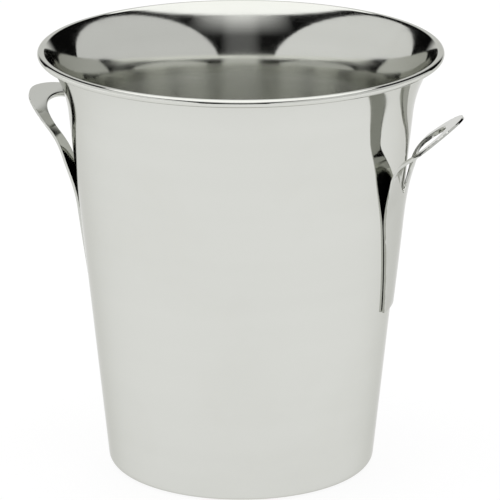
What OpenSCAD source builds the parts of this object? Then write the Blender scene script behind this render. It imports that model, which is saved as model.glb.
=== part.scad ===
// Tapered champagne bucket in polished sheet steel: one drawn shell with
// a rolled lip, and two stamped loop handles spot-welded to its wall.
// The origin is the bottom centre of the base and +Z is up. The right
// handle points along +X and the left handle along -X.

/* [Bucket] */
// Outside width across the rolled lip
rim_d = 205; // [165:1:250]
// Height from the table to the top of the lip
body_h = 218.5; // [175:1:262]
// Width of the straight wall's cone where it meets the table
foot_d = 136; // [110:1:166]
// Thickness of the drawn sheet
sheet = 1; // [0.8:0.05:1.2]
// Height of the flared mouth above the straight wall
flare_h = 32; // [26:1:39]
// How far the lip stands out beyond the top of the straight wall
flare_out = 15.3; // [12:0.1:19]
// Diameter of the bead rolled along the lip
bead_d = 4; // [3.3:0.1:5]
// How far the curl runs on past the underside of the bead, in degrees
curl_past = 35; // [0:5:45]
// Outside radius of the corner round the base
corner_r = 5; // [4:0.5:7]
// How high the middle of the base is pushed up inside the resting ring
base_lift = 1.5; // [1:0.1:2.5]
// Width of the flat ring the bucket stands on
ring_w = 8; // [6:0.5:12]

/* [Handles] */
// Distance from the top of the lip down to where the tails leave the wall
leave_drop = 56.7; // [47:0.1:70]
// Length of the tail that lies along the wall
tail_len = 74.4; // [60:0.1:90]
// Developed length of a handle from the tail's end to the tip
handle_len = 115.5; // [108:0.5:140]
// Width of the tail at its lower end
tail_w = 20; // [15:1:24]
// Width across the loop
loop_w = 63; // [52:1:77]
// Distance from the tail's end up to the widest part of the loop
loop_up = 93; // [84:0.5:104]
// Width of the finger hole
eye_w = 43; // [34:1:46]
// Length of the finger hole along the handle
eye_len = 42; // [34:1:44]
// Width of the band between the finger hole and the tip
tip_band = 11.5; // [9:0.5:15]
// Radius at which the edge of the finger hole is turned down
eye_turn_r = 1.2; // [1.2:0.1:2.2]
// Length of the straight edge below that turn
eye_turn_d = 1; // [1:0.1:2.6]
// Thickness of the handle sheet
handle_t = 1.2; // [1:0.1:1.6]
// Inside radius of the bend in the right handle
bend_r_right = 15; // [12:1:24]
// Lean of the right handle's loop from upright, in degrees
lean_right = 53; // [44:1:66]
// Inside radius of the bend in the left handle
bend_r_left = 32; // [26:1:36]
// Lean of the left handle's loop from upright, in degrees
lean_left = 70; // [56:1:74]

/* [Welds] */
// Space between wall and tail that the weld nuggets fill
weld_gap = 0.35; // [0.25:0.05:0.5]
// Diameter of one weld nugget
weld_d = 5; // [4:0.5:6]
// Distance from the tail's end up to the first nugget
weld_first = 12; // [8:1:16]
// Spacing of the nuggets up the tail
weld_pitch = 16; // [12:1:20]

/* [Hidden] */
$fn = 64;
steel = [0.84, 0.84, 0.82];
wall_top = body_h - flare_h;
foot_r = foot_d / 2;
neck_r = rim_d / 2 - flare_out;
wall_a = atan((neck_r - foot_r) / wall_top);

// Curl along the lip: centre line radius and centre.
curl_r = (bead_d - sheet) / 2;
curl_x = rim_d / 2 - bead_d / 2;
curl_z = body_h - bead_d / 2;

// Middle of the sheet where the flare starts.
start_x = neck_r - sheet / 2 * cos(wall_a);
start_z = wall_top + sheet / 2 * sin(wall_a);

// Angle from upright at which one arc joins the wall to the curl.
function chord_a(a) = atan((curl_x - curl_r * cos(a) - start_x)
    / (curl_z + curl_r * sin(a) - start_z));
function settle(a, n) = n == 0 ? a : settle(2 * chord_a(a) - wall_a, n - 1);
lip_a = settle(40, 12);
flare_r = (curl_x - curl_r * cos(lip_a) - start_x) / (cos(wall_a) - cos(lip_a));
flare_cx = start_x + flare_r * cos(wall_a);
flare_cz = start_z - flare_r * sin(wall_a);

// Corner round the base: centre of the arc.
corner_z = corner_r;
corner_x = foot_r + corner_z * tan(wall_a) - corner_r / cos(wall_a);

function arc(cx, cz, r, from, to, n) =
    [for (i = [0:n]) let (a = from + (to - from) * i / n) [cx + r * cos(a), cz + r * sin(a)]];

outside = concat(
    [[0, base_lift], [corner_x - ring_w - 2, base_lift], [corner_x - ring_w, 0]],
    arc(corner_x, corner_z, corner_r, -90, -wall_a, 6),
    arc(flare_cx, flare_cz, flare_r - sheet / 2, 180 - wall_a, 180 - lip_a, 12),
    arc(curl_x, curl_z, bead_d / 2 - sheet, 180 - lip_a, -90 - curl_past, 12));
inside = concat(
    arc(curl_x, curl_z, bead_d / 2, -90 - curl_past, 180 - lip_a, 20),
    arc(flare_cx, flare_cz, flare_r + sheet / 2, 180 - lip_a, 180 - wall_a, 12),
    arc(corner_x, corner_z, corner_r - sheet, -wall_a, -90, 5),
    [[corner_x - ring_w + 0.5, sheet], [corner_x - ring_w - 1.5, base_lift + sheet]],
    [[0, base_lift + sheet]]);

// Handle pattern, laid out flat: x across, y up from the tail's end.
loop_y = loop_up;
eye_y = handle_len - tip_band - eye_len;
eye_mid = eye_y + eye_len * 0.69;
half_tail = tail_w / 2;
half_loop = loop_w / 2;
half_eye = eye_w / 2;

function curve(a, b, c, d, t) =
    a * pow(1 - t, 3) + b * 3 * t * pow(1 - t, 2) + c * 3 * t * t * (1 - t) + d * pow(t, 3);
side_low = [[half_tail, 0], [half_tail + 3, loop_y * 0.33],
    [half_loop - 1, loop_y * 0.78], [half_loop, loop_y]];
side_high = [[half_loop, loop_y], [half_loop, loop_y + (handle_len - loop_y) * 0.5],
    [half_loop * 0.42, handle_len], [0, handle_len]];
eye_low = [[0, eye_y], [half_eye * 0.24, eye_y],
    [half_eye, eye_mid - (eye_mid - eye_y) * 0.22], [half_eye, eye_mid]];
eye_high = [[half_eye, eye_mid], [half_eye, eye_mid + (eye_y + eye_len - eye_mid) * 0.55],
    [half_eye * 0.55, eye_y + eye_len], [0, eye_y + eye_len]];
function on(c, t) = curve(c[0], c[1], c[2], c[3], t);

// Matching points up the right-hand side of the outline and of the hole.
across = 3;
up = 40;
turn = 25;
function edge_at(i) = i <= across ? [half_tail * i / across, 0]
    : i <= turn ? on(side_low, (i - across) / (turn - across))
    : on(side_high, (i - turn) / (up - turn));
function hole_at(i) = let (w = pow(i / up, 1.4))
    w < 0.6 ? on(eye_low, w / 0.6) : on(eye_high, (w - 0.6) / 0.4);
round = 2 * up;
function ring_edge(k) = k <= up ? edge_at(k) : let (p = edge_at(round - k)) [-p[0], p[1]];
function ring_hole(k) = k <= up ? hole_at(k) : let (p = hole_at(round - k)) [-p[0], p[1]];

// Direction in the flat pattern that leads away from the hole.
function unit(v) = v / norm(v);
function away(k) = k == 0 ? [0, -1] : k == up ? [0, 1]
    : let (d = unit(ring_hole(k + 1) - ring_hole(k - 1))) [d[1], -d[0]];

// How far the hole's edge is turned at a point: little by the tail, square by the tip.
function turned(k) = let (f = min(1, (ring_hole(k)[1] - eye_y) / 18)) 20 + 70 * f * f * (3 - 2 * f);

// Rows of the sheet from the outer edge to the hole: flat, then round the turn, then down.
flat_rows = 5;
turn_rows = 4;
rows = flat_rows + turn_rows + 1;
function turn_at(j, k) = j <= flat_rows ? 0 : turned(k) * min(1, (j - flat_rows) / turn_rows);
function inset(j, k) = let (full = turned(k), now = turn_at(j, k))
    eye_turn_r * (sin(full) - sin(now)) + (j == rows ? 0 : eye_turn_d * full / 90 * cos(full));
function depth(j, k) = let (full = turned(k), now = turn_at(j, k))
    eye_turn_r * (1 - cos(now)) + (j == rows ? eye_turn_d * full / 90 * sin(full) : 0);
function sheet_at(face, j, k) =
    let (t = min(1, j / flat_rows), now = turn_at(j, k))
    let (rim = ring_hole(k) + away(k) * (inset(max(j, flat_rows), k) + face * handle_t * sin(now)))
    let (p = ring_edge(k) * (1 - t) + rim * t)
    [p[0], p[1], depth(j, k) + face * handle_t * cos(now)];

module bucket_shell() {
    color(steel)
        rotate_extrude()
            polygon(concat(outside, inside));
}

// Where a point of the flat pattern ends up: up the wall, round the
// bend, then straight to the tip. Face 0 looks at the bucket.
leave_z = body_h - leave_drop;
tail_z = leave_z - tail_len * cos(wall_a);
tail_x = foot_r + tail_z * tan(wall_a) + weld_gap / cos(wall_a);
function fade(s) = let (f = min(1, max(0, (s - tail_len * 0.62) / 34))) 1 - f * f * (3 - 2 * f);
function spine(s, r, lean) =
    let (swing = (lean - wall_a) * PI / 180 * r)
    let (a = s < tail_len ? wall_a : min(lean, wall_a + (s - tail_len) / r * 180 / PI))
    let (flat = min(s, tail_len))
    let (rest = max(0, s - tail_len - swing))
    [tail_x + flat * sin(wall_a) + r * (cos(wall_a) - cos(a)) + rest * sin(lean),
     tail_z + flat * cos(wall_a) + r * (sin(a) - sin(wall_a)) + rest * cos(lean), a];
function place(p, r, lean) =
    let (m = spine(p[1], r, lean))
    let (cup = (m[0] - sqrt(m[0] * m[0] - p[0] * p[0])) * fade(p[1]))
    let (off = p[2] - cup)
    [m[0] + off * cos(m[2]), p[0], m[1] - off * sin(m[2])];

module handle(r, lean) {
    points = [for (face = [0, 1]) for (j = [0:rows]) for (k = [0:round - 1])
        place(sheet_at(face, j, k), r, lean)];
    layer = (rows + 1) * round;
    function at(face, j, k) = face * layer + j * round + k % round;
    skins = [for (face = [0, 1]) for (j = [0:rows - 1]) for (k = [0:round - 1])
        let (a = at(face, j, k), b = at(face, j, k + 1))
        let (c = at(face, j + 1, k + 1), d = at(face, j + 1, k))
        each face == 0 ? [[a, b, c], [a, c, d]] : [[a, c, b], [a, d, c]]];
    rims = [for (j = [0, rows]) for (k = [0:round - 1])
        let (a = at(0, j, k), b = at(0, j, k + 1))
        let (c = at(1, j, k + 1), d = at(1, j, k))
        each j == 0 ? [[a, c, b], [a, d, c]] : [[a, b, c], [a, c, d]]];
    polyhedron(points, concat(skins, rims));
}

module handle_right() {
    color(steel)
        handle(bend_r_right, lean_right);
}

module handle_left() {
    color(steel)
        rotate([0, 0, 180])
            handle(bend_r_left, lean_left);
}

// One nugget between the wall and a tail, at a distance up the tail.
module nugget(s, turned) {
    z = tail_z + s * cos(wall_a);
    skin = (weld_gap - 0.02) / cos(wall_a);
    r0 = foot_r + (z - weld_d) * tan(wall_a);
    r1 = foot_r + (z + weld_d) * tan(wall_a);
    color(steel)
        rotate([0, 0, turned])
            intersection() {
                rotate_extrude()
                    polygon([[r0, z - weld_d], [r0 + skin, z - weld_d],
                        [r1 + skin, z + weld_d], [r1, z + weld_d]]);
                translate([foot_r * 0.8, 0, z])
                    rotate([0, 90, 0])
                        cylinder(h = rim_d, d = weld_d);
            }
}

module weld_right_low() {
    nugget(weld_first, 0);
}

module weld_right_mid() {
    nugget(weld_first + weld_pitch, 0);
}

module weld_right_high() {
    nugget(weld_first + 2 * weld_pitch, 0);
}

module weld_left_low() {
    nugget(weld_first, 180);
}

module weld_left_mid() {
    nugget(weld_first + weld_pitch, 180);
}

module weld_left_high() {
    nugget(weld_first + 2 * weld_pitch, 180);
}

bucket_shell();
handle_right();
handle_left();
weld_right_low();
weld_right_mid();
weld_right_high();
weld_left_low();
weld_left_mid();
weld_left_high();
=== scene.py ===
import math
import bpy
import bmesh
from mathutils import Matrix, Vector


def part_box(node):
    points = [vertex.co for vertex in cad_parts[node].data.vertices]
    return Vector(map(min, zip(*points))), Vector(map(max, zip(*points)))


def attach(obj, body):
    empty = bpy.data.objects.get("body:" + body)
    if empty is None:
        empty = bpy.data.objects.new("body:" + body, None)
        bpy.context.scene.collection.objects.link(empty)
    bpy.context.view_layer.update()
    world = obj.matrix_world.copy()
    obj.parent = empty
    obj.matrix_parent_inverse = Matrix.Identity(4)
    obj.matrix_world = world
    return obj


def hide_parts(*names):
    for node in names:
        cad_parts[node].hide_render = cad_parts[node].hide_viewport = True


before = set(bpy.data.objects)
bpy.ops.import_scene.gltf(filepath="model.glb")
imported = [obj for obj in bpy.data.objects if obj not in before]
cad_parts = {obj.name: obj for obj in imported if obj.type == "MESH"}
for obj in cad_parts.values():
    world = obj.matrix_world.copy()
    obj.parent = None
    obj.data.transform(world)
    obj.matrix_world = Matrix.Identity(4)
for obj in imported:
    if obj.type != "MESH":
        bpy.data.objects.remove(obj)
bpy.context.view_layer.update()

shellLow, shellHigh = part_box("bucket_shell")
print("frame loaded")

mm = 0.001

# camera

cameraView = {
    "turn": 15.2,  # degrees round the bucket, so the right handle comes forward
    "rise": 17.31,  # degrees above the table
    "distance": 2.05,
    "lens": 288.76,
    "aimHeight": 0.1118,  # the point on the axis at the middle of the frame
    "aimSide": 0.0046,  # how far the bucket sits left of the middle
    "sensor": 36,
    "clipEnd": 50,
}


def addCamera(v):
    turn, rise = math.radians(v["turn"]), math.radians(v["rise"])
    back = Vector((math.sin(turn) * math.cos(rise), -math.cos(turn) * math.cos(rise), math.sin(rise)))
    side = Vector((math.cos(turn), math.sin(turn), 0))
    data = bpy.data.cameras.new("camera")
    data.lens = v["lens"]
    data.sensor_width = v["sensor"]
    data.clip_end = v["clipEnd"]
    camera = bpy.data.objects.new("camera", data)
    bpy.context.scene.collection.objects.link(camera)
    camera.location = Vector((0, 0, v["aimHeight"])) + side * v["aimSide"] + back * v["distance"]
    camera.rotation_euler = back.to_track_quat("Z", "Y").to_euler()
    bpy.context.scene.camera = camera


addCamera(cameraView)
print("camera set")

# helpers


def newPiece(name, bm):
    mesh = bpy.data.meshes.new(name)
    bm.to_mesh(mesh)
    bm.free()
    for face in mesh.polygons:
        face.use_smooth = True
    piece = bpy.data.objects.new(name, mesh)
    bpy.context.scene.collection.objects.link(piece)
    return piece


def addModifier(piece, kind, **values):
    modifier = piece.modifiers.new(kind.lower(), kind)
    for key, value in values.items():
        setattr(modifier, key, value)
    return modifier


# bucket shell: the middle line of the sheet is drawn, spun round the axis, then given its thickness

shellSizes = {
    "lipWidth": shellHigh.x - shellLow.x,
    "height": shellHigh.z - shellLow.z,
    "footWidth": 136 * mm,  # where the wall's cone meets the table
    "flareHeight": 32 * mm,
    "flareOut": 15.3 * mm,
    "sheet": 1 * mm,
    "bead": 4 * mm,
    "corner": 5 * mm,
    "baseLift": 1.5 * mm,
    "ringWidth": 8 * mm,
    "curlPast": 35,  # degrees past the underside of the bead
    "stepStart": 2.4 * mm,  # the slope from the raised base to the ring, measured in from the ring
    "stepTurn": 1.9 * mm,
    "stepEnd": 0.2 * mm,
    "stepHigh": 0.86,  # shares of half the sheet that round the top and the foot of the slope
    "stepLow": 1.16,
    "ringEase": 0.3 * mm,
    "straight": 0.8 * mm,  # a short run beside each bend, so the wall shades as straight
    "baseSteps": 14, "slopeSteps": 3, "ringSteps": 4, "cornerSteps": 12,
    "wallSteps": 40, "flareSteps": 30, "curlSteps": 44, "spinSteps": 256,
    "weld": 0.01 * mm,
}


def wallAngle(s):
    neck, foot = s["lipWidth"] / 2 - s["flareOut"], s["footWidth"] / 2
    return math.atan((neck - foot) / (s["height"] - s["flareHeight"]))


def flareArc(s):
    lean, half = wallAngle(s), s["sheet"] / 2
    curlRadius = (s["bead"] - s["sheet"]) / 2
    curl = Vector((s["lipWidth"] / 2 - s["bead"] / 2, 0, s["height"] - s["bead"] / 2))
    start = Vector((s["lipWidth"] / 2 - s["flareOut"] - half * math.cos(lean), 0,
                    s["height"] - s["flareHeight"] + half * math.sin(lean)))
    lip = math.radians(40)  # a first guess
    for i in range(12):  # settles on the one arc that joins wall and curl
        end = curl + Vector((-math.cos(lip), 0, math.sin(lip))) * curlRadius
        lip = 2 * math.atan((end.x - start.x) / (end.z - start.z)) - lean
    radius = (end.x - start.x) / (math.cos(lean) - math.cos(lip))
    centre = start + Vector((math.cos(lean), 0, -math.sin(lean))) * radius
    return start, lip, centre, curl


def drawTo(bm, vert, x, z, steps=1):
    # a straight run of the middle line
    start = vert.co.copy()
    for i in range(steps):
        new = bmesh.ops.extrude_vert_indiv(bm, verts=[vert])["verts"][0]
        new.co = start.lerp(Vector((x, 0, z)), (i + 1) / steps)
        vert = new
    return vert


def drawArc(bm, vert, centre, degrees, steps):
    # a bend of the middle line, counted the way the sheet turns towards the axis
    new = bmesh.ops.spin(bm, geom=[vert], cent=centre, axis=(0, -1, 0), dvec=(0, 0, 0),
                         angle=math.radians(degrees), steps=steps, use_merge=False, use_duplicate=False)
    return [g for g in new["geom_last"] if isinstance(g, bmesh.types.BMVert)][0]


def buildShell(s):
    lean, half = wallAngle(s), s["sheet"] / 2
    cornerX = s["footWidth"] / 2 + s["corner"] * math.tan(lean) - s["corner"] / math.cos(lean)
    start, lip, flareCentre, curl = flareArc(s)
    bm = bmesh.new()
    vert = bm.verts.new((0, 0, s["baseLift"] + half))
    ringStart = cornerX - s["ringWidth"]
    run = Vector((math.sin(lean), 0, math.cos(lean))) * s["straight"]
    vert = drawTo(bm, vert, ringStart - s["stepStart"], s["baseLift"] + half, s["baseSteps"])
    vert = drawTo(bm, vert, ringStart - s["stepTurn"], s["baseLift"] + half * s["stepHigh"])
    vert = drawTo(bm, vert, ringStart - s["stepEnd"], half * s["stepLow"], s["slopeSteps"])
    vert = drawTo(bm, vert, ringStart + s["ringEase"], half)
    vert = drawTo(bm, vert, cornerX, half, s["ringSteps"])
    vert = drawArc(bm, vert, (cornerX, 0, s["corner"]), 90 - math.degrees(lean), s["cornerSteps"])
    vert = drawTo(bm, vert, vert.co.x + run.x, vert.co.z + run.z)
    vert = drawTo(bm, vert, start.x - run.x, start.z - run.z, s["wallSteps"])
    vert = drawTo(bm, vert, start.x, start.z)
    vert = drawArc(bm, vert, flareCentre, -math.degrees(lip - lean), s["flareSteps"])
    drawArc(bm, vert, curl, -(270 + s["curlPast"] - math.degrees(lip)), s["curlSteps"])
    bmesh.ops.spin(bm, geom=bm.verts[:] + bm.edges[:], cent=(0, 0, 0), axis=(0, 0, 1), dvec=(0, 0, 0),
                   angle=2 * math.pi, steps=s["spinSteps"], use_merge=True, use_duplicate=False)
    bmesh.ops.remove_doubles(bm, verts=bm.verts[:], dist=s["weld"])
    bmesh.ops.recalc_face_normals(bm, faces=bm.faces[:])
    shell = newPiece("bucketShell", bm)
    addModifier(shell, "SOLIDIFY", thickness=s["sheet"], offset=0, use_even_offset=True,
                material_offset=1, material_offset_rim=0)
    return shell


bucketShell = buildShell(shellSizes)
print("shell spun")

# handles: a flat blank with its hole, bent up the wall and out, then given its thickness

handleSizes = {
    "leaveDrop": 56.7 * mm,  # from the lip down to where the tail leaves the wall
    "tailLength": 74.4 * mm,
    "length": 115.5 * mm,
    "tailWidth": 20 * mm,
    "loopWidth": 63 * mm,
    "loopUp": 93 * mm,
    "holeWidth": 43 * mm,
    "holeLength": 42 * mm,
    "tipBand": 11.5 * mm,
    "sheet": 1.2 * mm,
    "gap": 0.35 * mm,
    "edgeRound": 0.3 * mm,
    "turnRadius": 1.2 * mm,  # the hole's edge is turned down round this radius
    "turnDrop": 1 * mm,
    "turnFade": 18 * mm,  # the turn grows from the tail end of the hole over this length
    "turnLeast": 20,  # degrees, at the tail end of the hole
    "turnMost": 90,
    "holeWidest": 0.69,  # share of the hole's length
    "tailFlare": 3 * mm,  # how the outline's curves leave the tail and meet the loop
    "loopEase": 1 * mm,
    "sidePull": (0.33, 0.78), "tipPull": (0.5, 0.42), "holePull": (0.24, 0.22), "holeTipPull": (0.55, 0.55),
    "cupShare": 0.62,  # the tail hugs the wall's curve up to here, then flattens over cupFade
    "cupFade": 34 * mm,
    "tailSteps": 6, "sideSteps": 70, "tipSteps": 44, "rowCuts": 13, "roundSteps": 6,
    "dropSteps": (0.4, 0.8, 1),
    "right": {"bend": 15 * mm, "lean": 53},
    "left": {"bend": 32 * mm, "lean": 70},
}


def bezier(points, t):
    a, b, c, d = points
    return a * (1 - t) ** 3 + b * 3 * t * (1 - t) ** 2 + c * 3 * t * t * (1 - t) + d * t ** 3


def blankCurves(h):
    tail, loop, hole = h["tailWidth"] / 2, h["loopWidth"] / 2, h["holeWidth"] / 2
    top, up = h["length"], h["loopUp"]
    low = top - h["tipBand"] - h["holeLength"]
    high, mid = low + h["holeLength"], low + h["holeLength"] * h["holeWidest"]
    side, tip, start, end = h["sidePull"], h["tipPull"], h["holePull"], h["holeTipPull"]
    outline = [[Vector(p) for p in curve] for curve in (
        ((tail, 0), (tail + h["tailFlare"], up * side[0]), (loop - h["loopEase"], up * side[1]), (loop, up)),
        ((loop, up), (loop, up + (top - up) * tip[0]), (loop * tip[1], top), (0, top)))]
    opening = [[Vector(p) for p in curve] for curve in (
        ((0, low), (hole * start[0], low), (hole, mid - (mid - low) * start[1]), (hole, mid)),
        ((hole, mid), (hole, mid + (high - mid) * end[0]), (hole * end[1], high), (0, high)))]
    return outline, opening


def spine(h, side, s):
    # where a point s up the middle of the blank comes to rest, and the sheet's lean there
    lean = wallAngle(shellSizes)
    tip = math.radians(h[side]["lean"])
    bend = h[side]["bend"]
    leaveZ = shellSizes["height"] - h["leaveDrop"]
    tailZ = leaveZ - h["tailLength"] * math.cos(lean)
    tailX = shellSizes["footWidth"] / 2 + tailZ * math.tan(lean) + h["gap"] / math.cos(lean)
    flat = min(s, h["tailLength"])
    swing = max(0, min(s - h["tailLength"], (tip - lean) * bend))
    rest = max(0, s - h["tailLength"] - (tip - lean) * bend)
    turned = lean + swing / bend
    x = tailX + flat * math.sin(lean) + bend * (math.cos(lean) - math.cos(turned)) + rest * math.sin(tip)
    z = tailZ + flat * math.cos(lean) + bend * (math.sin(turned) - math.sin(lean)) + rest * math.cos(tip)
    return x, z, turned


def bendBlank(h, side, co):
    x, z, turned = spine(h, side, co.y)
    fade = min(1, max(0, (co.y - h["tailLength"] * h["cupShare"]) / h["cupFade"]))
    off = co.z - (x - math.sqrt(x * x - co.x * co.x)) * (1 - fade * fade * (3 - 2 * fade))
    return Vector((x + off * math.cos(turned), co.x, z - off * math.sin(turned)))


def planTurn(ring, h):
    # for each point of the hole's edge: where it is, the way out of the hole, and how far the edge is turned
    low = min(v.co.y for v in ring)
    plan = []
    for i, vert in enumerate(ring):
        along = ring[(i + 1) % len(ring)].co - ring[i - 1].co
        f = min(1, (vert.co.y - low) / h["turnFade"])
        away = Vector((along.y, -along.x, 0)).normalized()
        full = h["turnLeast"] + (h["turnMost"] - h["turnLeast"]) * f * f * (3 - 2 * f)
        plan.append((vert.co.copy(), away, math.radians(full)))
    return plan


def placeRing(ring, plan, h, share, drop):
    for vert, (base, away, full) in zip(ring, plan):
        now, straight = full * share, h["turnDrop"] * full / math.radians(h["turnMost"])
        back = h["turnRadius"] * (math.sin(full) - math.sin(now)) + straight * (1 - drop) * math.cos(full)
        down = h["turnRadius"] * (1 - math.cos(now)) + straight * drop * math.sin(full)
        vert.co = base + away * back + Vector((0, 0, down))


def turnEdge(bm, ring, edges, plan, h):
    # draws the hole's edge on, ring by ring, round the turn and straight down
    rounds = [((i + 1) / h["roundSteps"], 0) for i in range(h["roundSteps"])]
    for share, drop in rounds + [(1, d) for d in h["dropSteps"]]:
        new = bmesh.ops.extrude_edge_only(bm, edges=edges)["geom"]
        fresh = {g for g in new if isinstance(g, bmesh.types.BMVert)}
        edges = [g for g in new if isinstance(g, bmesh.types.BMEdge)]
        ring = [[e.other_vert(v) for e in v.link_edges if e.other_vert(v) in fresh][0] for v in ring]
        placeRing(ring, plan, h, share, drop)


def buildHandle(name, h, side):
    outline, opening = blankCurves(h)
    bm = bmesh.new()

    def loopOf(curves, steps, flatEnd):
        points = [Vector((x, curves[0][0].y)) for x in flatEnd]
        for curve, count in zip(curves, steps):
            points += [bezier(curve, i / count) for i in range(count)]
        points.append(curves[-1][3])
        mirrored = [Vector((-p.x, p.y)) for p in reversed(points[1:-1])]
        verts = [bm.verts.new((p.x, p.y, 0)) for p in points + mirrored]
        return verts, [bm.edges.new((a, b)) for a, b in zip(verts, verts[1:] + verts[:1])]

    tail = h["tailWidth"] / 2
    count = h["tailSteps"]
    outer = loopOf(outline, (h["sideSteps"], h["tipSteps"]), [tail * i / count for i in range(count)])[1]
    ring, inner = loopOf(opening, (h["sideSteps"] + count, h["tipSteps"]), [])
    plan = planTurn(ring, h)
    placeRing(ring, plan, h, 0, 0)
    faces = bmesh.ops.bridge_loops(bm, edges=outer + inner)["faces"]
    rim = set(outer + inner)
    spokes = [e for e in bm.edges if e not in rim]
    bmesh.ops.subdivide_edgering(bm, edges=spokes, interp_mode="LINEAR", cuts=h["rowCuts"],
                                 profile_shape="LINEAR", profile_shape_factor=0, smooth=0)
    turnEdge(bm, ring, inner, plan, h)
    for vert in bm.verts:
        vert.co = bendBlank(h, side, vert.co)
    bmesh.ops.recalc_face_normals(bm, faces=bm.faces[:])
    if sum(f.normal.x for f in bm.faces) < 0:
        bmesh.ops.reverse_faces(bm, faces=bm.faces[:])
    if side == "left":
        bmesh.ops.rotate(bm, verts=bm.verts[:], cent=(0, 0, 0), matrix=Matrix.Rotation(math.pi, 3, "Z"))
    handle = newPiece(name, bm)
    addModifier(handle, "SOLIDIFY", thickness=h["sheet"], offset=1, use_even_offset=True)
    addModifier(handle, "BEVEL", width=h["edgeRound"], segments=3, profile=0.5, limit_method="ANGLE",
                angle_limit=math.radians(50), harden_normals=False)
    return handle


handleRight = buildHandle("handleRight", handleSizes, "right")
handleLeft = buildHandle("handleLeft", handleSizes, "left")
print("handles bent")

# materials


def addNode(tree, kind, place, **values):
    node = tree.nodes.new(kind)
    node.location = place
    for key, value in values.items():
        if hasattr(node, key):
            setattr(node, key, value)
        else:
            node.inputs[key.replace("_", " ")].default_value = value
    return node


def newGroup(name, inputs, outputs):
    group = bpy.data.node_groups.new(name, "ShaderNodeTree")
    for label, kind, value in inputs:
        socket = group.interface.new_socket(label, in_out="INPUT", socket_type=kind)
        if value is not None:
            socket.default_value = value
    for label, kind in outputs:
        group.interface.new_socket(label, in_out="OUTPUT", socket_type=kind)
    return group, addNode(group, "NodeGroupInput", (-900, 0)), addNode(group, "NodeGroupOutput", (700, 0))


def polishLines():
    # slow waves in the sheet, and with them the fine lines of a polishing wheel that runs round the axis
    group, given, put = newGroup("polishLines", (
        ("Vector", "NodeSocketVector", None),
        ("Line Scale", "NodeSocketFloat", 900),
        ("Wave Scale", "NodeSocketFloat", 30),
        ("Stretch", "NodeSocketFloat", 0.04),
    ), (("Waves", "NodeSocketFloat"), ("Height", "NodeSocketFloat")))
    links = group.links
    flat = addNode(group, "ShaderNodeCombineXYZ", (-700, -200), Z=1)
    squeeze = addNode(group, "ShaderNodeVectorMath", (-520, 0), operation="MULTIPLY")
    lines = addNode(group, "ShaderNodeTexNoise", (-320, 120), Detail=4, Roughness=0.6)
    waves = addNode(group, "ShaderNodeTexNoise", (-320, -160), Detail=2, Roughness=0.5)
    height = addNode(group, "ShaderNodeMath", (200, -40), operation="MULTIPLY_ADD")
    links.new(given.outputs["Stretch"], flat.inputs["X"])
    links.new(given.outputs["Stretch"], flat.inputs["Y"])
    links.new(given.outputs["Vector"], squeeze.inputs[0])
    links.new(flat.outputs[0], squeeze.inputs[1])
    links.new(squeeze.outputs[0], lines.inputs["Vector"])
    links.new(squeeze.outputs[0], waves.inputs["Vector"])
    links.new(given.outputs["Line Scale"], lines.inputs["Scale"])
    links.new(given.outputs["Wave Scale"], waves.inputs["Scale"])
    height.inputs[1].default_value = 0.25
    links.new(lines.outputs["Fac"], height.inputs[0])
    links.new(waves.outputs["Fac"], height.inputs[2])
    links.new(waves.outputs["Fac"], put.inputs["Waves"])
    links.new(height.outputs[0], put.inputs["Height"])
    return group


def handledMetal():
    # finger smudges and fine scratches, as masks from 0 to 1
    group, given, put = newGroup("handledMetal", (
        ("Vector", "NodeSocketVector", None),
        ("Smudge Scale", "NodeSocketFloat", 22),
        ("Scratch Scale", "NodeSocketFloat", 160),
    ), (("Smudge", "NodeSocketFloat"), ("Scratch", "NodeSocketFloat")))
    links = group.links
    smudge = addNode(group, "ShaderNodeTexNoise", (-500, 200), Detail=5, Roughness=0.62, Distortion=0.4)
    smudgeMask = addNode(group, "ShaderNodeMapRange", (-200, 200), From_Min=0.5, From_Max=0.74, clamp=True)
    wiggle = addNode(group, "ShaderNodeTexNoise", (-700, -150), Scale=14, Detail=2)
    bent = addNode(group, "ShaderNodeMixRGB", (-500, -150), blend_type="ADD")
    bent.inputs["Fac"].default_value = 0.02
    scratch = addNode(group, "ShaderNodeTexVoronoi", (-300, -150), feature="DISTANCE_TO_EDGE")
    scratchMask = addNode(group, "ShaderNodeMapRange", (-50, -150), From_Min=0, From_Max=0.012,
                          To_Min=1, To_Max=0, clamp=True)
    links.new(given.outputs["Vector"], smudge.inputs["Vector"])
    links.new(given.outputs["Smudge Scale"], smudge.inputs["Scale"])
    links.new(smudge.outputs["Fac"], smudgeMask.inputs["Value"])
    links.new(given.outputs["Vector"], wiggle.inputs["Vector"])
    links.new(given.outputs["Vector"], bent.inputs["Color1"])
    links.new(wiggle.outputs["Color"], bent.inputs["Color2"])
    links.new(bent.outputs[0], scratch.inputs["Vector"])
    links.new(given.outputs["Scratch Scale"], scratch.inputs["Scale"])
    links.new(scratch.outputs["Distance"], scratchMask.inputs["Value"])
    links.new(smudgeMask.outputs[0], put.inputs["Smudge"])
    links.new(scratchMask.outputs[0], put.inputs["Scratch"])
    return group


polishGroup = polishLines()
handledGroup = handledMetal()


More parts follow.
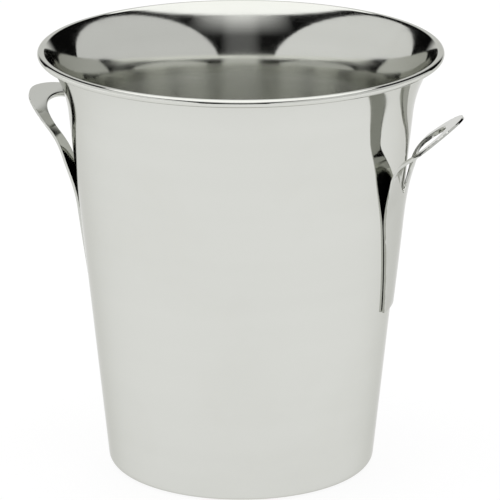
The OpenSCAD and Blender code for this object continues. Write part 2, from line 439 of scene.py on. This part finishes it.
def steelMaterial(name, look):
    material = bpy.data.materials.new(name)
    material.use_nodes = True
    tree = material.node_tree
    links = tree.links
    shader = tree.nodes["Principled BSDF"]
    shader.inputs["Metallic"].default_value = 1
    # keeps the grazing edges from going white
    shader.inputs["Specular Tint"].default_value = (0.74, 0.74, 0.72, 1)
    shader.inputs["Anisotropic"].default_value = look.get("drawn", 0)
    place = addNode(tree, "ShaderNodeTexCoord", (-1500, 0))
    polish = addNode(tree, "ShaderNodeGroup", (-1200, 150), node_tree=polishGroup)
    polish.inputs["Line Scale"].default_value = look["lineScale"]
    polish.inputs["Wave Scale"].default_value = look["waveScale"]
    polish.inputs["Stretch"].default_value = look["stretch"]
    handled = addNode(tree, "ShaderNodeGroup", (-1200, -150), node_tree=handledGroup)
    handled.inputs["Smudge Scale"].default_value = look["smudgeScale"]
    handled.inputs["Scratch Scale"].default_value = look["scratchScale"]
    for group in (polish, handled):
        links.new(place.outputs["Object"], group.inputs["Vector"])

    tone = addNode(tree, "ShaderNodeMix", (-700, 250), data_type="RGBA")
    tone.inputs["A"].default_value = (*look["low"], 1)
    tone.inputs["B"].default_value = (*look["high"], 1)
    links.new(polish.outputs["Waves"], tone.inputs["Factor"])
    dull = addNode(tree, "ShaderNodeMix", (-450, 250), data_type="RGBA", blend_type="MULTIPLY")
    dull.inputs["B"].default_value = (0.93, 0.925, 0.91, 1)
    fade = addNode(tree, "ShaderNodeMath", (-700, 60), operation="MULTIPLY")
    fade.inputs[1].default_value = look["smudge"]
    links.new(handled.outputs["Smudge"], fade.inputs[0])
    links.new(tone.outputs["Result"], dull.inputs["A"])
    links.new(fade.outputs[0], dull.inputs["Factor"])
    links.new(dull.outputs["Result"], shader.inputs["Base Color"])

    rough = addNode(tree, "ShaderNodeMapRange", (-700, -150), From_Min=0.3, From_Max=0.7,
                    To_Min=look["smooth"], To_Max=look["rough"], clamp=True)
    links.new(polish.outputs["Height"], rough.inputs["Value"])
    more = addNode(tree, "ShaderNodeMath", (-450, -150), operation="MULTIPLY_ADD")
    more.inputs[1].default_value = look["smudgeRough"]
    links.new(handled.outputs["Smudge"], more.inputs[0])
    links.new(rough.outputs[0], more.inputs[2])
    worn = addNode(tree, "ShaderNodeMath", (-250, -150), operation="MULTIPLY_ADD")
    worn.inputs[1].default_value = look["scratchRough"]
    links.new(handled.outputs["Scratch"], worn.inputs[0])
    links.new(more.outputs[0], worn.inputs[2])
    roughness = worn.outputs[0]

    if "matBelow" in look:
        # below the flare the inside is left as brushed
        split = addNode(tree, "ShaderNodeSeparateXYZ", (-1200, -500))
        low = addNode(tree, "ShaderNodeMapRange", (-900, -500), From_Min=look["matBelow"],
                      From_Max=look["matBelow"] - look["matBlend"], To_Min=0, To_Max=look["mat"], clamp=True)
        mat = addNode(tree, "ShaderNodeMath", (-100, -150), operation="ADD")
        links.new(place.outputs["Object"], split.inputs[0])
        links.new(split.outputs["Z"], low.inputs["Value"])
        links.new(low.outputs[0], mat.inputs[0])
        links.new(roughness, mat.inputs[1])
        roughness = mat.outputs[0]
    links.new(roughness, shader.inputs["Roughness"])

    lines = addNode(tree, "ShaderNodeBump", (-450, -420), Strength=look["bump"], Distance=look["depth"])
    links.new(polish.outputs["Height"], lines.inputs["Height"])
    links.new(lines.outputs[0], shader.inputs["Normal"])
    if look.get("drawn"):
        upright = addNode(tree, "ShaderNodeCombineXYZ", (-450, -620), Z=1)
        links.new(upright.outputs[0], shader.inputs["Tangent"])
    return material


polishedLook = {
    "low": (0.645, 0.652, 0.618), "high": (0.675, 0.682, 0.648), "smooth": 0.03, "rough": 0.075,
    "lineScale": 1100, "waveScale": 60, "stretch": 0.03, "bump": 0.04, "depth": 0.0002,
    "smudgeScale": 14, "smudge": 0.3, "smudgeRough": 0.03, "scratchScale": 120, "scratchRough": 0.03,
}
brushedLook = {
    "low": (0.6, 0.607, 0.57), "high": (0.67, 0.677, 0.64), "smooth": 0.03, "rough": 0.08, "drawn": 0.85,
    "matBelow": 187 * mm, "matBlend": 5 * mm, "mat": 0.12,
    "lineScale": 1500, "waveScale": 70, "stretch": 0.02, "bump": 0.1, "depth": 0.0003,
    "smudgeScale": 30, "smudge": 0.25, "smudgeRough": 0.04, "scratchScale": 90, "scratchRough": 0.04,
}
handleLook = {
    "low": (0.57, 0.577, 0.545), "high": (0.61, 0.617, 0.585), "smooth": 0.03, "rough": 0.08,
    "lineScale": 700, "waveScale": 50, "stretch": 0.25, "bump": 0.03, "depth": 0.0002,
    "smudgeScale": 45, "smudge": 0.6, "smudgeRough": 0.08, "scratchScale": 260, "scratchRough": 0.04,
}
weldLook = {
    "low": (0.3, 0.29, 0.27), "high": (0.5, 0.49, 0.46), "smooth": 0.4, "rough": 0.65,
    "lineScale": 2600, "waveScale": 900, "stretch": 1, "bump": 0.5, "depth": 0.0002,
    "smudgeScale": 400, "smudge": 1, "smudgeRough": 0.1, "scratchScale": 900, "scratchRough": 0.05,
}

polished = steelMaterial("polishedSteel", polishedLook)
brushed = steelMaterial("brushedSteel", brushedLook)
handleSteel = steelMaterial("handleSteel", handleLook)
welded = steelMaterial("weldedSteel", weldLook)

# the thickness puts the first material on the inside and the second on the outside
bucketShell.data.materials.append(brushed)
bucketShell.data.materials.append(polished)
handleRight.data.materials.append(handleSteel)
handleLeft.data.materials.append(handleSteel)

# riding and slots

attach(bucketShell, "root")
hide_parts("bucket_shell")
for piece, node in ((handleRight, "handle_right"), (handleLeft, "handle_left")):
    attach(piece, "root")
    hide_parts(node)
for name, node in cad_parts.items():
    if name.startswith("weld_"):
        node.data.materials.clear()
        node.data.materials.append(welded)
print("materials placed")

# table and light

studio = {
    "tableSize": 16,
    "tableWhite": 0.18,
    "tableGlow": 0.86,  # the table gives off light itself, so there is hardly a shadow
    "overhead": 1.45,
    "overheadEdge": 49,  # degrees above the table
    "overheadBlend": 0.012,
    "behind": 0.9,
    "behindEdge": (30, 18),  # degrees from straight behind the bucket where the wall starts and is full
    "front": 0.7,  # the weak glow above the camera
    "frontRise": (0.45, 0.72),  # sine of the height where the glow starts and is full
    "frontPower": 1.3,
    "frontEdge": 38,  # degrees from the camera where the glow ends
    "column": 0.13,  # a narrow light at the camera
    "columnEdge": (15, 3),
    "room": 0.004,
    "seen": 1.0,  # what the camera sees past the table
    "panelHeight": 0.2,
    "panels": (
        {"round": 73, "rise": 1, "away": 3, "wide": 9.6, "tall": 5.9, "strength": 0.76},
        {"round": -80, "rise": 1, "away": 3, "wide": 9.6, "tall": 5.6, "strength": 0.9},
    ),
}


def addTable(s):
    bm = bmesh.new()
    bmesh.ops.create_grid(bm, x_segments=2, y_segments=2, size=s["tableSize"] / 2)
    table = newPiece("table", bm)
    material = bpy.data.materials.new("paleTable")
    material.use_nodes = True
    shader = material.node_tree.nodes["Principled BSDF"]
    white = s["tableWhite"]
    shader.inputs["Base Color"].default_value = (white, white, white, 1)
    shader.inputs["Roughness"].default_value = 1
    shader.inputs["Specular IOR Level"].default_value = 0
    shader.inputs["Emission Color"].default_value = (1, 1, 1, 1)
    shader.inputs["Emission Strength"].default_value = s["tableGlow"]
    table.data.materials.append(material)


def addPanel(p, turn, height):
    around, rise = math.radians(p["round"]) + turn, math.radians(p["rise"])
    out = Vector((math.sin(around) * math.cos(rise), -math.cos(around) * math.cos(rise), math.sin(rise)))
    data = bpy.data.lights.new("panel", "AREA")
    data.shape = "ELLIPSE"
    data.size, data.size_y = p["wide"], p["tall"]
    data.energy = p["strength"] * math.pi * math.pi / 4 * p["wide"] * p["tall"]
    panel = bpy.data.objects.new("panel", data)
    bpy.context.scene.collection.objects.link(panel)
    panel.location = Vector((0, 0, height)) + out * p["away"]
    panel.rotation_euler = out.to_track_quat("Z", "Y").to_euler()


def addRoom(s, turn):
    # a bright ceiling, a pale wall behind the bucket, a weak glow and a narrow light by the camera, else dark
    world = bpy.data.worlds.new("room")
    bpy.context.scene.world = world
    world.use_nodes = True
    tree = world.node_tree
    links = tree.links
    background = tree.nodes["Background"]
    background.inputs["Color"].default_value = (1, 1, 1, 1)
    where = addNode(tree, "ShaderNodeTexCoord", (-1700, 0))
    parts = addNode(tree, "ShaderNodeSeparateXYZ", (-1500, 200))
    links.new(where.outputs["Generated"], parts.inputs[0])

    def ramp(source, place, low, high, top, smooth=False):
        node = addNode(tree, "ShaderNodeMapRange", place, From_Min=low, From_Max=high, To_Min=0, To_Max=top,
                       clamp=True, interpolation_type="SMOOTHSTEP" if smooth else "LINEAR")
        links.new(source, node.inputs["Value"])
        return node.outputs[0]

    def combine(operation, place, a, b):
        node = addNode(tree, "ShaderNodeMath", place, operation=operation)
        links.new(a, node.inputs[0])
        if hasattr(b, "links"):
            links.new(b, node.inputs[1])
        else:
            node.inputs[1].default_value = b
        return node.outputs[0]

    level = addNode(tree, "ShaderNodeVectorMath", (-1500, -200), operation="MULTIPLY")
    level.inputs[1].default_value = (1, 1, 0)
    unit = addNode(tree, "ShaderNodeVectorMath", (-1300, -200), operation="NORMALIZE")
    facing = addNode(tree, "ShaderNodeVectorMath", (-1100, -200), operation="DOT_PRODUCT")
    facing.inputs[1].default_value = (math.sin(turn), -math.cos(turn), 0)
    links.new(where.outputs["Generated"], level.inputs[0])
    links.new(level.outputs[0], unit.inputs[0])
    links.new(unit.outputs[0], facing.inputs[0])
    height, side = parts.outputs["Z"], facing.outputs["Value"]

    def cosine(degrees):
        return math.cos(math.radians(degrees))

    edge, blend = math.sin(math.radians(s["overheadEdge"])), s["overheadBlend"]
    wallStart, wallFull = s["behindEdge"]
    columnStart, columnFull = s["columnEdge"]
    ceiling = ramp(height, (-800, 400), edge - blend, edge + blend, s["overhead"])
    wall = ramp(side, (-800, 200), -cosine(wallStart), -cosine(wallFull), s["behind"], True)
    steep = combine("POWER", (-600, 0), ramp(height, (-800, 0), *s["frontRise"], 1), s["frontPower"])
    near = ramp(side, (-800, -200), cosine(s["frontEdge"]), 1, s["front"])
    glow = combine("MULTIPLY", (-400, 0), steep, near)
    column = ramp(side, (-800, -400), cosine(columnStart), cosine(columnFull), s["column"], True)
    total = combine("ADD", (-200, 0), combine("ADD", (-300, 0), glow, column), s["room"])
    total = combine("MAXIMUM", (0, 100), combine("MAXIMUM", (-100, 100), total, wall), ceiling)
    ray = addNode(tree, "ShaderNodeLightPath", (0, -300))
    mix = addNode(tree, "ShaderNodeMix", (200, 0), data_type="FLOAT")
    links.new(ray.outputs["Is Camera Ray"], mix.inputs["Factor"])
    links.new(total, mix.inputs["A"])
    mix.inputs["B"].default_value = s["seen"]
    links.new(mix.outputs["Result"], background.inputs["Strength"])


turn = math.radians(cameraView["turn"])
addTable(studio)
addRoom(studio, turn)
for p in studio["panels"]:
    addPanel(p, turn, studio["panelHeight"])
bpy.context.scene.view_settings.view_transform = "Standard"
print("table and light set")
